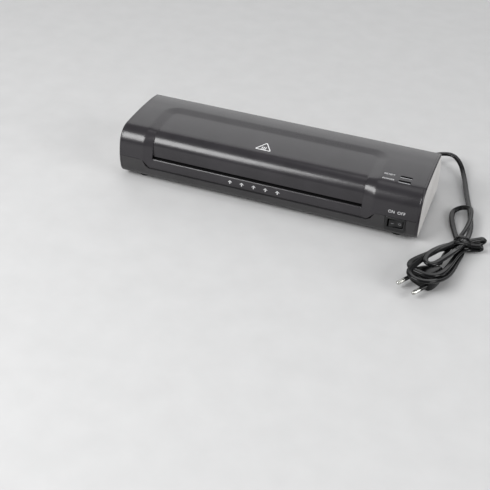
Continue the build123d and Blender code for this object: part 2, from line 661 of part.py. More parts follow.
# ---- all nodes ----
def build():
    nodes = {
        "top_cover": make_top_cover(),
        "base_shell": make_base_shell(),
        "left_end_cap": make_end_cap(-1),
        "right_end_cap": make_end_cap(1),
        "rubber_feet": make_feet(),
        "case_screws": make_case_screws(),
        "switch_body": make_switch_body(),
        "switch_rocker": make_rocker(),
        "switch_terminals": make_terminals(),
        "power_lens": make_lens("power_lens"),
        "ready_lens": make_lens("ready_lens"),
        "led_board": make_led_board(),
        "leds": make_leds(),
        "left_side_plate": make_side_plate(PLATE_LEFT),
        "right_side_plate": make_side_plate(PLATE_RIGHT),
        "tie_rods": make_tie_rods(),
        "frame_screws": make_frame_screws(),
        "lower_bushes": make_bushes(),
        "bearing_blocks": make_bearing_blocks(),
        "spring_bridges": make_spring_bridges(),
        "nip_springs": make_nip_springs(),
        "lower_roller_sleeve": make_sleeve(LOWER_Z),
        "upper_roller_sleeve": make_sleeve(UPPER_Z),
        "lower_roller_shaft": make_roller_shaft(LOWER_Z),
        "upper_roller_shaft": make_roller_shaft(UPPER_Z),
        "lower_retaining_ring": make_retaining_ring(LOWER_Z),
        "upper_retaining_ring": make_retaining_ring(UPPER_Z),
        "lower_heat_shell": make_heat_shell(LOWER_Z, -1),
        "upper_heat_shell": make_heat_shell(UPPER_Z, 1),
        "lower_heater_pad": make_heater_pad(LOWER_Z, -1),
        "upper_heater_pad": make_heater_pad(UPPER_Z, 1),
        "upper_entry_guide": make_guide(-50, -11, 1),
        "lower_entry_guide": make_guide(-50, -11, -1),
        "upper_exit_guide": make_guide(44, 14.5, 1),
        "lower_exit_guide": make_guide(44, 14.5, -1),
        "lower_roller_gear": make_gear(ROLLER_TEETH, math.pi / 2, ROLLER_Y, LOWER_Z, JOURNAL_RADIUS),
        "upper_roller_gear": make_gear(ROLLER_TEETH, math.pi / 2, ROLLER_Y, UPPER_Z, JOURNAL_RADIUS),
        "motor_pinion": make_gear(PINION_TEETH, PINION_PHASE, PINION_Y, LOWER_Z, MOTOR_SHAFT_RADIUS),
        "motor_shaft": make_motor_shaft(),
        "motor_bracket": make_motor_bracket(),
        "motor_spacers": make_motor_spacers(),
        "motor_gearbox": make_gearbox(),
        "motor_can": make_motor_can(),
        "motor_screws": make_motor_screws(),
        "thermostat": make_thermostat(),
        "thermal_fuse": make_thermal_fuse(),
        "terminal_block": make_terminal_block(),
        "inner_wires": make_inner_wires(),
        "strain_relief": make_strain_relief(),
        "cord_lead": cord_tube(LEAD_ROUTE, "lead"),
        "cord_loop": cord_tube(LOOP_ROUTE, "loop"),
        "cord_hank": make_cord_hank(),
        "cord_folds": make_cord_folds(),
        "cord_tie": make_cord_tie(),
        "plug_body": make_plug_body(),
        "plug_pins": make_plug_pins(),
    }
    for name, shape in nodes.items():
        save(name, shape)


os.makedirs(PARTS, exist_ok=True)
build()
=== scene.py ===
"""Looks of the A4 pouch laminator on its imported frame.

Lengths are in millimetres, as in the part's source, and become metres where a mesh is made.
X runs along the machine, +Y to the rear, +Z up; the floor is z = 0.
"""

import json
import math

import bmesh
import bpy
from mathutils import Matrix, Vector

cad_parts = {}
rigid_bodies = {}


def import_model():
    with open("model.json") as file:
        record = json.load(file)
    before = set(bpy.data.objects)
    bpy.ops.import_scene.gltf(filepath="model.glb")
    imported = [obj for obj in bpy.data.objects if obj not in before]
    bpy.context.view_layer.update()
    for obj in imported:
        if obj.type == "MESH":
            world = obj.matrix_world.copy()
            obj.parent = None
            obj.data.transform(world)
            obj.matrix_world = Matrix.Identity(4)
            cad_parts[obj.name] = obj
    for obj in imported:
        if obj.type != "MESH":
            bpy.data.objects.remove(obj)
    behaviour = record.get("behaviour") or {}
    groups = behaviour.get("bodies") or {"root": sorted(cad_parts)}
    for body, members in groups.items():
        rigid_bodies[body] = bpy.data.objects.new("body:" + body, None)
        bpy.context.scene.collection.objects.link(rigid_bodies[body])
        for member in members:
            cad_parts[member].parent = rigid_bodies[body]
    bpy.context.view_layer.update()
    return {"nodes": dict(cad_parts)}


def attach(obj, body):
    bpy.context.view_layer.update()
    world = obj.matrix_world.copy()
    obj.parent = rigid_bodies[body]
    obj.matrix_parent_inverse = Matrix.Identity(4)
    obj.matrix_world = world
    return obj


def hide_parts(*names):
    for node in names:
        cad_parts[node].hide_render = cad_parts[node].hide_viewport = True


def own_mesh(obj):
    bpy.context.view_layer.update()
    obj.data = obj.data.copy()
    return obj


MM = 0.001
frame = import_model()

# ---- driving dimensions, as in the part's source but for the slot's lower lip, wall and bezel ----
HALF_LENGTH, CAP_THICKNESS = 162.5, 3.0
BODY_END = HALF_LENGTH - CAP_THICKNESS
PANEL_LEFT, PANEL_RIGHT, PANEL_REAR = -124.5, 103.5, 5.0
PANEL_DEPTH, FRONT_EXTRA, BAND, CORNER = 1.8, 1.5, 10.5, 6.0
BROW_HEIGHT = 46.0  # above it the recess is no deeper than the panel
SLOT_LEFT, SLOT_RIGHT = PANEL_LEFT - 0.5, PANEL_RIGHT
SLOT_LOW, SLOT_HIGH = 28.5, 34.5
LIP_RADIUS = 1.5  # rounded upper edge of the strip below the entry slot
SEAM_HIGH, SEAM_LOW, SEAM_STEP = 27.3, 17.6, 8.0
STEP_LEFT, STEP_RIGHT = PANEL_LEFT - BAND + 3, PANEL_RIGHT + BAND
WALL = 2.2
SWITCH_X, SWITCH_Z, BEZEL_FRONT = 139.2, 19.05, -56.0
BEZEL_LENGTH, BEZEL_HEIGHT, BEZEL_CORNER = 21.2, 15.9, 1.8  # 0.1 inside the part's on each side
WELL_LENGTH, WELL_HEIGHT, WELL_CORNER = 15.9, 8.9, 0.9  # the opening that the rocker stands in
HOUSING_HALF_LENGTH, HOUSING_HALF_HEIGHT = 9.1, 6.6
HOUSING_FRONT, HOUSING_REAR = -45.0, -37.2
ROCKER = (139.6, -50.5, 20.1)  # the rocker's pivot
ROCKER_TILT = 8.0
ROCKER_HALF_LENGTH, ROCKER_HALF_HEIGHT, ROCKER_BACK = 6.95, 4.0, 3.8
LENS_X, LENS_LENGTH = 139.5, 12.0
LENSES = {"power_lens": (-35.3, 3.5), "ready_lens": (-27.0, 3.0)}  # y and width
PLATES = (-132.5, 111.5)  # the side plates, over which the springs stand
ROLLER_Y, SPRING_LOW, SPRING_HIGH = 1.5, 46.1, 51.5
TIE = (206.0, -43.5)  # where the lead's bundle is tied
BUNDLE_AXIS, PLUG_AXIS = math.radians(255), math.radians(240)
PLUG_FACE = (178.7, -121.1, 7.4)
PIN_SPACING, PIN_RADIUS = 19.0, 2.0
MOTTLE, GLOSS_PATCH, GRAIN_DEPTH = 28, 9, 0.1  # sizes in the surfaces' patterns


# ---- materials ----
def linear(level):
    """A display level from 0 to 255 as a linear share."""
    share = level / 255
    return share / 12.92 if share <= 0.04045 else ((share + 0.055) / 1.055) ** 2.4


def colour(*levels):
    """Three display levels as an opaque linear colour."""
    return (*[linear(level) for level in levels], 1.0)


def finish_of(name, levels, roughness, grain=0.1, grain_size=0.5, variation=0.08, metallic=0.0, coat=0.0,
              stretch=(1, 1, 1), specular=0.5):
    """A moulded or worked surface: mottled colour, uneven gloss and a fine grain."""
    material = bpy.data.materials.new(name)
    material.use_nodes = True
    nodes, links = material.node_tree.nodes, material.node_tree.links
    shader = nodes["Principled BSDF"]
    shader.inputs["Metallic"].default_value = metallic
    shader.inputs["Coat Weight"].default_value = coat
    shader.inputs["Specular IOR Level"].default_value = specular
    shader.inputs["Coat Roughness"].default_value = 0.12
    place = nodes.new("ShaderNodeTexCoord")
    scaling = nodes.new("ShaderNodeMapping")
    scaling.inputs["Scale"].default_value = stretch
    links.new(place.outputs["Object"], scaling.inputs["Vector"])

    def noise(size, detail):
        """Noise with features of about a size, in millimetres."""
        texture = nodes.new("ShaderNodeTexNoise")
        texture.inputs["Scale"].default_value = 1 / (size * MM)
        texture.inputs["Detail"].default_value = detail
        links.new(scaling.outputs["Vector"], texture.inputs["Vector"])
        return texture.outputs["Fac"]

    broad = noise(MOTTLE, 3)
    tint = nodes.new("ShaderNodeValToRGB")
    for element, way in zip(tint.color_ramp.elements, (-1, 1)):
        element.position = 0.5 + 0.2 * way
        element.color = colour(*[min(255, level * (1 + way * variation)) for level in levels])
    links.new(broad, tint.inputs["Fac"])
    links.new(tint.outputs["Color"], shader.inputs["Base Color"])
    gloss = nodes.new("ShaderNodeMapRange")
    gloss.inputs["To Min"].default_value = max(0.03, roughness - 0.06)
    gloss.inputs["To Max"].default_value = min(1.0, roughness + 0.06)
    links.new(noise(GLOSS_PATCH, 2), gloss.inputs["Value"])
    links.new(gloss.outputs["Result"], shader.inputs["Roughness"])
    if grain:
        bump = nodes.new("ShaderNodeBump")
        bump.inputs["Strength"].default_value = grain
        bump.inputs["Distance"].default_value = GRAIN_DEPTH * MM
        links.new(noise(grain_size, 2), bump.inputs["Height"])
        links.new(bump.outputs["Normal"], shader.inputs["Normal"])
    return material


FINISHES = {
    "cover_plastic": finish_of("cover_plastic", (43, 41, 44), 0.24, grain=0.15, grain_size=0.45),
    # painted shade: a near-black copy of the cover plastic, darker than the cover's own colour, for the
    # cover's inner faces and cut rims so the slots read as shade
    "painted_shade_plastic": finish_of("painted_shade_plastic", (10, 10, 10), 0.7, grain=0.0, specular=0.12),
    "base_plastic": finish_of("base_plastic", (48, 47, 48), 0.4, grain=0.3, grain_size=0.45),
    # painted reflection: the end faces are black plastic, and this light grey stands in for the pale floor
    # reflected at a grazing angle
    "cap_plastic": finish_of("cap_plastic", (198, 196, 194), 0.5, grain=0.6, grain_size=0.9, variation=0.04),
    "rubber": finish_of("rubber", (34, 34, 35), 0.8, grain=0.4, grain_size=0.3),
    "zinc_screw": finish_of("zinc_screw", (176, 178, 180), 0.35, metallic=1.0, grain=0.1),
    "switch_plastic": finish_of("switch_plastic", (22, 22, 23), 0.32, grain=0.1, grain_size=0.3),
    "lens": finish_of("lens", (26, 26, 28), 0.2, grain=0.0, coat=0.5),
    # painted highlight: a light strip standing in for light caught on the front edge of each lens window
    "lens_edge_highlight": finish_of("lens_edge_highlight", (190, 190, 193), 0.3, grain=0.0),
    "board": finish_of("board", (24, 82, 48), 0.4, grain=0.2, grain_size=1.0),
    "led": finish_of("led", (206, 60, 46), 0.2, grain=0.0, coat=0.4),
    "sheet_steel": finish_of("sheet_steel", (168, 170, 172), 0.38, metallic=1.0, grain=0.15, grain_size=0.6,
                             stretch=(0.2, 1, 1)),
    "bush_plastic": finish_of("bush_plastic", (226, 222, 210), 0.5),
    "spring_steel": finish_of("spring_steel", (150, 150, 152), 0.28, metallic=1.0, grain=0.0),
    "silicone": finish_of("silicone", (176, 66, 48), 0.62, grain=0.35, grain_size=0.5),
    "shaft_steel": finish_of("shaft_steel", (186, 187, 189), 0.22, metallic=1.0, grain=0.05,
                             stretch=(0.1, 1, 1)),
    "aluminium": finish_of("aluminium", (196, 198, 200), 0.34, metallic=1.0, grain=0.1, stretch=(0.15, 1, 1)),
    "heater_foil": finish_of("heater_foil", (184, 120, 52), 0.4, grain=0.3, grain_size=2.0, variation=0.2),
    "guide_plastic": finish_of("guide_plastic", (10, 10, 10), 0.7, grain=0.2, specular=0.12),
    "gear_plastic": finish_of("gear_plastic", (222, 219, 208), 0.45, grain=0.1),
    "brass": finish_of("brass", (205, 205, 200), 0.25, metallic=1.0, grain=0.03),
    "cord_plastic": finish_of("cord_plastic", (10, 10, 11), 0.22, grain=0.06, grain_size=0.6, specular=0.28),
    "print": finish_of("print", (222, 222, 223), 0.6, grain=0.0, variation=0.03),
    # the same print made darker: painted shade for the rocker's marks, which sit in the switch's well
    "print_in_painted_shade": finish_of("print_in_painted_shade", (128, 128, 130), 0.6, grain=0.0, variation=0.05),
}
PRINT = FINISHES["print"]


# ---- meshes ----
def shown(name, mesh, material, body="housing", smooth=35, replaces=()):
    """Makes an object of a bmesh: materials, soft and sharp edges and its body."""
    bmesh.ops.recalc_face_normals(mesh, faces=mesh.faces)
    for face in mesh.faces:
        face.smooth = True
    for edge in mesh.edges:
        edge.smooth = len(edge.link_faces) != 2 or edge.calc_face_angle(0) < math.radians(smooth)
    data = bpy.data.meshes.new(name)
    mesh.to_mesh(data)
    mesh.free()
    made = bpy.data.objects.new(name, data)
    bpy.context.scene.collection.objects.link(made)
    materials = material if isinstance(material, (list, tuple)) else [material]
    for each in materials:
        data.materials.append(each)
    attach(made, body)
    if replaces:
        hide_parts(*replaces)
    return made


def bevel(made, width, segments=2, angle=35):
    """Rounds an object's edges where they turn by more than an angle."""
    modifier = made.modifiers.new("edges", "BEVEL")
    modifier.width = width * MM
    modifier.segments = segments
    modifier.limit_method = "ANGLE"
    modifier.angle_limit = math.radians(angle)
    modifier.harden_normals = True


def rings_mesh(rings, caps=True):
    """A tube through rings of points, each ring closed."""
    mesh = bmesh.new()
    rows = [[mesh.verts.new(Vector(point) * MM) for point in ring] for ring in rings]
    count = len(rows[0])
    for one, two in zip(rows, rows[1:]):
        for index in range(count):
            after = (index + 1) % count
            mesh.faces.new((one[index], one[after], two[after], two[index]))
    if caps:
        mesh.faces.new(rows[0][::-1])
        mesh.faces.new(rows[-1])
    return mesh


def lathe(profile, start, direction, steps=28):
    """Rings round an axis from (along, radius) pairs."""
    turn = Vector((0, 0, 1)).rotation_difference(Vector(direction)).to_matrix()
    rings = []
    for along, radius in profile:
        ring = [Vector((radius * math.cos(a), radius * math.sin(a), along))
                for a in (2 * math.pi * index / steps for index in range(steps))]
        rings.append([turn @ point + Vector(start) for point in ring])
    return rings_mesh(rings)


def joined(meshes):
    """Several bmeshes as one."""
    whole = bmesh.new()
    for mesh in meshes:
        data = bpy.data.meshes.new("part")
        mesh.to_mesh(data)
        mesh.free()
        whole.from_mesh(data)
        bpy.data.meshes.remove(data)
    return whole


# ---- casing ----
def arc(start, middle, end, steps):
    """Points on the circle through three points, from start to end."""
    (ax, ay), (bx, by), (cx, cy) = start, middle, end
    double = 2 * (ax * (by - cy) + bx * (cy - ay) + cx * (ay - by))
    a2, b2, c2 = ax * ax + ay * ay, bx * bx + by * by, cx * cx + cy * cy
    ux = (a2 * (by - cy) + b2 * (cy - ay) + c2 * (ay - by)) / double
    uy = (a2 * (cx - bx) + b2 * (ax - cx) + c2 * (bx - ax)) / double
    radius = math.hypot(ax - ux, ay - uy)
    first, half, last = (math.atan2(y - uy, x - ux) for x, y in (start, middle, end))
    full = 2 * math.pi
    sweep = (last - first) % full
    if (half - first) % full > sweep:
        sweep -= full
    angles = [first + sweep * index / steps for index in range(steps + 1)]
    return [(ux + radius * math.cos(angle), uy + radius * math.sin(angle)) for angle in angles]


# the casing's outline as seen from its right end, in (y, z)
FRONT = arc((-54.4, 13.8), (-55.7, 28), (-53.6, 43.5), 30)
BROW = arc((-53.6, 43.5), (-48.1, 52.0), (-36.5, 57.2), 24)
PANEL = arc((-36.5, 57.2), (-16, 58.2), (5.0, 58.35), 24)
TOP = arc((17.5, 58.0), (30, 57.1), (38.4, 55.9), 12)
EDGE = arc((38.4, 55.9), (39.7, 55.3), (40.5, 54.2), 6)
REAR = arc((40.5, 54.2), (50.4, 31), (56.6, 8.5), 40)
HEEL = arc((56.6, 8.5), (56.1, 5.3), (53.2, 4.0), 6)
TOE = arc((-46.0, 4.0), (-51.5, 7.6), (-54.4, 13.8), 10)
COVER_LINE = FRONT + BROW[1:] + PANEL[1:] + TOP + EDGE[1:] + REAR[1:]
CLOSED_LINE = COVER_LINE + HEEL[1:] + TOE[:-1]


def normals_of(line, closed=False):
    """Outward normals of a (y, z) line that runs up the front and down the rear."""
    made = []
    for index, _ in enumerate(line):
        before = line[index - 1] if closed or index else line[index]
        after = line[(index + 1) % len(line)] if closed or index + 1 < len(line) else line[index]
        dy, dz = after[0] - before[0], after[1] - before[1]
        size = math.hypot(dy, dz)
        made.append((-dz / size, dy / size))
    return made


LINE_NORMALS = normals_of(COVER_LINE)
STATIONS = [0.0]
for one, two in zip(COVER_LINE, COVER_LINE[1:]):
    STATIONS.append(STATIONS[-1] + math.dist(one, two))


def at_station(station):
    """(y, z, normal y, normal z) at a length along the cover's line."""
    index = next((i for i, s in enumerate(STATIONS) if s > station), len(STATIONS) - 1)
    low, high = STATIONS[index - 1], STATIONS[index]
    share = (station - low) / (high - low)
    before = (*COVER_LINE[index - 1], *LINE_NORMALS[index - 1])
    after = (*COVER_LINE[index], *LINE_NORMALS[index])
    return [a + (b - a) * share for a, b in zip(before, after)]


def station_of(value, axis, first, last):
    """The length along the line, between two of its points, where y (axis 0) or z (axis 1) has a value."""
    for index in range(first, last):
        a, b = COVER_LINE[index][axis], COVER_LINE[index + 1][axis]
        if (a - value) * (b - value) <= 0 and a != b:
            return STATIONS[index] + (STATIONS[index + 1] - STATIONS[index]) * (value - a) / (b - a)
    raise ValueError((value, axis))


BROW_START = len(FRONT) - 1
REAR_START = len(COVER_LINE) - len(REAR)


def front_station(z):
    """The station of a height on the casing's front."""
    return station_of(z, 1, 0, BROW_START)


def top_station(y):
    """The station of a y on the brow, the panel or the top."""
    return station_of(y, 0, BROW_START, REAR_START)


def rear_station(z):
    """The station of a height on the casing's rear."""
    return station_of(z, 1, REAR_START, len(COVER_LINE) - 1)


def eased(share, softness):
    """A ramp from 0 to 1 with rounded ends."""
    return 0.5 * (1 + math.hypot(share, softness) - math.hypot(share - 1, softness))


def recess(x, y, z):
    """How far the surface at a place lies below the outer surface: more in front than on top."""
    above_strip = eased((z - SEAM_LOW) / (SLOT_LOW - SEAM_LOW), 0.1)
    front = above_strip * (1 - eased((z - BROW_HEIGHT) / 10, 0.1)) if y < 0 else 0
    aside = max(PANEL_LEFT + CORNER - x, x - (PANEL_RIGHT - CORNER), 0)
    behind = max(y - (PANEL_REAR - CORNER), 0)
    outside = (math.hypot(aside, behind) - CORNER) / BAND
    return (PANEL_DEPTH + FRONT_EXTRA * front) * (1 - eased(outside, 0.05))


def seam_height(x):
    """The seam is low in front of the feed strip and high beside it."""
    left = eased((x - STEP_LEFT) / SEAM_STEP + 0.5, 0.12)
    right = eased((STEP_RIGHT - x) / SEAM_STEP + 0.5, 0.12)
    return SEAM_HIGH - (SEAM_HIGH - SEAM_LOW) * min(left, right)


def surface(x, station, lift=0.0):
    """A point of the cover's outer surface, lifted off it by a little."""
    y, z, ny, nz = at_station(station)
    shift = lift - recess(x, y, z)
    return (x, y + ny * shift, z + nz * shift)


# the hood over the entry slot stands back from the frame round it, with a tighter brow
HOOD_FRONT = arc((-49.9, 30.7), (-50.05, 36.5), (-49.6, 42.7), 10)
HOOD_LINE = HOOD_FRONT + arc((-49.6, 42.7), (-44.6, 51.0), (-35.2, 55.5), 26)[1:]
HOOD_BACK = -30.0  # where the hood's top joins the panel
HOOD_SIDE = 0.4  # width of the steep wall at the hood's ends


def hood_point(x, share):
    """A point of the hood, from its lower edge (share 0) back to where it joins the panel (share 1)."""
    joint = surface(x, top_station(HOOD_BACK))[1:]
    line = HOOD_LINE + [joint]
    lengths = [0.0]
    for one, two in zip(line, line[1:]):
        lengths.append(lengths[-1] + math.dist(one, two))
    wanted = lengths[-1] * share
    index = next((i for i, size in enumerate(lengths) if size >= wanted), len(lengths) - 1) or 1
    part = (wanted - lengths[index - 1]) / (lengths[index] - lengths[index - 1])
    return (x, *[a + (b - a) * part for a, b in zip(line[index - 1], line[index])])


def cover_point(x, station):
    """The outer surface at a station, with the hood set back and the strip's lip rounded."""
    if not SLOT_LEFT + HOOD_SIDE / 2 < x < SLOT_RIGHT - HOOD_SIDE / 2:
        return surface(x, station)
    first, last = front_station(SLOT_HIGH), top_station(HOOD_BACK)
    if first - 1e-6 <= station <= last:
        return hood_point(x, max(0.0, (station - first) / (last - first)))
    x, y, z = surface(x, station)
    below = SLOT_LOW - z
    if station < first and below < LIP_RADIUS:
        rest = LIP_RADIUS - max(0.0, below)
        y += LIP_RADIUS - math.sqrt(LIP_RADIUS**2 - rest**2)
    return (x, y, z)


def steps_between(low, high, size):
    """Places of about equal spacing from low up to, but not at, high."""
    count = max(1, round((high - low) / size))
    return [low + (high - low) * index / count for index in range(count)]


def cover_columns():
    """Places along x, close together where the bands beside the panel are."""
    left_band = (PANEL_LEFT - BAND - 4, PANEL_LEFT + 5)
    right_band = (PANEL_RIGHT - 5, PANEL_RIGHT + BAND + 5)
    marks = sorted({-BODY_END, *left_band, PANEL_LEFT - BAND, SLOT_LEFT, SLOT_LEFT + HOOD_SIDE,
                    *right_band, PANEL_RIGHT + BAND, SLOT_RIGHT - HOOD_SIDE, SLOT_RIGHT,
                    LENS_X - LENS_LENGTH / 2, LENS_X + LENS_LENGTH / 2, BODY_END})
    columns = []
    for low, high in zip(marks, marks[1:]):
        fine = any(low >= first and high <= last for first, last in (left_band, right_band))
        columns += steps_between(low, high, 1.0 if fine else 3.5)
    return columns + [BODY_END]


def cover_rows():
    """Stations that are the same in every column, between the two lowest zones."""
    rows = [front_station(z) for z in (SLOT_LOW, 30, 32.5, SLOT_HIGH, 35, 36, 37.5, 39, 40.5, 42, 43.2)]
    edge_y = {y + way * width / 2 for y, width in LENSES.values() for way in (-1, 1)}
    brow = {y for y, _ in BROW[1:23]}
    flat = set(steps_between(-33, -26, 2.3) + steps_between(-24, -4, 2.5) + steps_between(-4, 20, 1.0)
               + steps_between(20, 38.4, 3.0))
    tops = sorted(edge_y | {y for y in brow | flat if all(abs(y - e) > 0.6 for e in edge_y)})
    rows += [top_station(y) for y in tops]
    rows += [top_station(y) for y, _ in EDGE[:-1]]
    return rows + [rear_station(z) for z in (54, 52, 49, 46, 43, 40, 37.5, 35.5, SLOT_HIGH, 32, SLOT_LOW)]


# rows between the seam and the slots' lower edge, as shares of that height, closer towards the lip
SKIRT_ROWS = (0, 0.05, 0.2, 0.5, 0.75, 0.85, 0.89, 0.93, 0.96, 0.985)


def make_cover():
    """The cover: a fine sheet with its recess, slots and lens windows, given a wall and rounded edges."""
    columns, middle = cover_columns(), cover_rows()
    mesh = bmesh.new()
    grid = []
    for x in columns:
        low = seam_height(x)
        front = [front_station(low + (SLOT_LOW - low) * share) for share in SKIRT_ROWS]
        rear = [rear_station(low + (SLOT_LOW - low) * share) for share in SKIRT_ROWS[::-1]]
        grid.append([mesh.verts.new(Vector(cover_point(x, s)) * MM) for s in front + middle + rear])

    slots = [(front_station(SLOT_LOW), front_station(SLOT_HIGH)),
             (rear_station(SLOT_HIGH), rear_station(SLOT_LOW))]
    windows = [(top_station(y - width / 2), top_station(y + width / 2)) for y, width in LENSES.values()]

    def open_at(x, station):
        """Whether a place lies in a slot or in a lens window."""
        in_slot = any(low < station < high for low, high in slots)
        in_window = any(low < station < high for low, high in windows)
        return SLOT_LEFT < x < SLOT_RIGHT and in_slot or abs(x - LENS_X) < LENS_LENGTH / 2 and in_window

    for (left, one), (right, two) in zip(zip(columns, grid), zip(columns[1:], grid[1:])):
        for index in range(len(one) - 1):
            row = index - len(SKIRT_ROWS)
            inside = 0 <= row < len(middle) - 1
            if inside and open_at((left + right) / 2, (middle[row] + middle[row + 1]) / 2):
                continue
            mesh.faces.new((one[index], one[index + 1], two[index + 1], two[index]))
    bmesh.ops.delete(mesh, geom=[v for v in mesh.verts if not v.link_faces], context="VERTS")
    cover = shown("hood_skin", mesh, [FINISHES["cover_plastic"], FINISHES["painted_shade_plastic"]],
                  replaces=["top_cover"])
    wall = cover.modifiers.new("wall", "SOLIDIFY")
    wall.thickness = WALL * MM
    wall.offset = -1
    # the wall's inner faces and rims take the painted shade plastic
    wall.material_offset = 1
    wall.material_offset_rim = 1
    bevel(cover, 0.25, 2, 50)


def make_caps():
    """End plates with a rounded rim: the rim is dark, the face light and finely textured, its light grey a
    painted reflection of the pale floor on the black plastic.
    """
    # how far along x each ring stands, and how far inside the outline
    steps = [(BODY_END - 0.3, 0.5), (BODY_END, 0.12), (BODY_END + 0.3, 0.02),
             (HALF_LENGTH - 1.5, 0.02), (HALF_LENGTH - 0.8, 0.2), (HALF_LENGTH - 0.3, 0.6),
             (HALF_LENGTH - 0.06, 1.1), (HALF_LENGTH, 1.6)]
    around = normals_of(CLOSED_LINE, closed=True)
    for side, name in ((-1, "left_end_cap"), (1, "right_end_cap")):
        rings = []
        for x, inset in steps:
            rings.append([(side * x, y - ny * inset, z - nz * inset)
                          for (y, z), (ny, nz) in zip(CLOSED_LINE, around)])
        mesh = rings_mesh(rings)
        mesh.faces.ensure_lookup_table()
        # the end face takes the painted reflection
        mesh.faces[-1].material_index = 1
        shown(name + "_shell", mesh, [FINISHES["cover_plastic"], FINISHES["cap_plastic"]],
              replaces=[name])


# ---- switch ----
def block(x0, x1, y0, y1, z0, z1):
    """A box between two places along each axis."""
    mesh = bmesh.new()
    bmesh.ops.create_cube(mesh, size=1)
    middle = Vector(((x0 + x1) / 2, (y0 + y1) / 2, (z0 + z1) / 2)) * MM
    size = Vector((x1 - x0, y1 - y0, z1 - z0)) * MM
    for vertex in mesh.verts:
        vertex.co = vertex.co * size + middle
    return mesh


def rounded_rectangle(width, height, radius, steps=5):
    """Outline of a rectangle about (0, 0), with rounded corners."""
    points = []
    for cx, cy, start in ((1, 1, 0), (-1, 1, 90), (-1, -1, 180), (1, -1, 270)):
        for index in range(steps + 1):
            angle = math.radians(start + 90 * index / steps)
            points.append((cx * (width / 2 - radius) + radius * math.cos(angle),
                           cy * (height / 2 - radius) + radius * math.sin(angle)))
    return points


def make_bezel():
    """Frame of the switch: a rounded rim round a deep well."""
    rings = []
    for depth, shrink in ((2.0, 0.0), (0.6, 0.0), (0.2, 0.25), (0.0, 0.8)):
        outline = rounded_rectangle(BEZEL_LENGTH - 2 * shrink, BEZEL_HEIGHT - 2 * shrink, BEZEL_CORNER)
        rings.append([(SWITCH_X + x, BEZEL_FRONT + depth, SWITCH_Z + z) for x, z in outline])
    for depth, grow in ((0.0, 0.5), (0.3, 0.1), (1.2, 0.0), (10.0, 0.0)):
        outline = rounded_rectangle(WELL_LENGTH + 2 * grow, WELL_HEIGHT + 2 * grow, WELL_CORNER)
        rings.append([(ROCKER[0] + x, BEZEL_FRONT + depth, ROCKER[2] + z) for x, z in outline])
    shown("switch_bezel", rings_mesh(rings, caps=False), FINISHES["switch_plastic"],
          smooth=50)
    case = block(SWITCH_X - HOUSING_HALF_LENGTH, SWITCH_X + HOUSING_HALF_LENGTH, HOUSING_FRONT, HOUSING_REAR,
                 SWITCH_Z - HOUSING_HALF_HEIGHT, SWITCH_Z + HOUSING_HALF_HEIGHT)
    housing = shown("switch_housing", case, FINISHES["switch_plastic"],
                    replaces=["switch_body"])
    bevel(housing, 0.4)


def rocker_turn():
    """From the rocker's own place to its rest position, with its right end pressed in."""
    return Matrix.Translation(Vector(ROCKER) * MM) @ Matrix.Rotation(math.radians(ROCKER_TILT), 4, "Z")


def rocker_face(x):
    """Front surface of the rocker over its length: two wings that meet in a soft valley."""
    return -4.25 - 0.95 * eased(abs(x) / 6.9, 0.2)


def make_rocker():
    """The rocker with softened edges, and its on and off marks."""
    rings = []
    count = 24
    for index in range(count + 1):
        x = ROCKER_HALF_LENGTH * (2 * index / count - 1)
        edge = min(1.0, (ROCKER_HALF_LENGTH - abs(x)) / 0.5)
        face = rocker_face(x) + 0.35 * (1 - edge)
        rim = ROCKER_HALF_HEIGHT - 0.15 * (1 - edge)
        half = [(ROCKER_BACK, rim), (face + 0.5, rim), (face + 0.12, rim - 0.15), (face, rim - 0.5)]
        rings.append([(x, y, -z) for y, z in half] + [(x, face, 0)] + [(x, y, z) for y, z in half[::-1]])
    mesh = rings_mesh(rings)
    bmesh.ops.transform(mesh, matrix=rocker_turn(), verts=mesh.verts)
    shown("rocker_cap", mesh, FINISHES["switch_plastic"], body="rocker", smooth=40,
          replaces=["switch_rocker"])
    bar = rounded_rectangle(2.6, 0.6, 0.2)
    ring = [(1.35 * math.cos(a), 1.35 * math.sin(a)) for a in (math.tau * i / 24 for i in range(24))]
    hole = [(0.68 * x, 0.68 * y) for x, y in ring]
    marks = [flat_print(outline, inner, lambda u, v, at=at: (at + u, rocker_face(at + u) - 0.04, v))
             for at, outline, inner in ((-3.6, bar, []), (3.7, ring, hole))]
    mesh = joined(marks)
    bmesh.ops.transform(mesh, matrix=rocker_turn(), verts=mesh.verts)
    # the marks are print, darkened as painted shade of the well round the rocker
    shown("rocker_marks", mesh, FINISHES["print_in_painted_shade"], body="rocker")


# ---- printed marks ----
def flat_print(outline, hole, place):
    """A thin printed patch; place puts a flat (u, v) on the surface. hole has as many points as outline."""
    mesh = bmesh.new()
    outer = [mesh.verts.new(Vector(place(u, v)) * MM) for u, v in outline]
    if not hole:
        mesh.faces.new(outer)
        return mesh
    inner = [mesh.verts.new(Vector(place(u, v)) * MM) for u, v in hole]
    for index in range(len(outer)):
        after = (index + 1) % len(outer)
        mesh.faces.new((outer[index], outer[after], inner[after], inner[index]))
    return mesh


def on_top(x, y, lift=0.06):
    """A printed point on the cover's top, at a given x and y."""
    return surface(x, top_station(y), lift)


def on_front(x, z, lift=0.06):
    """A printed point on the cover's front, at a given x and z."""
    return surface(x, front_station(z), lift)


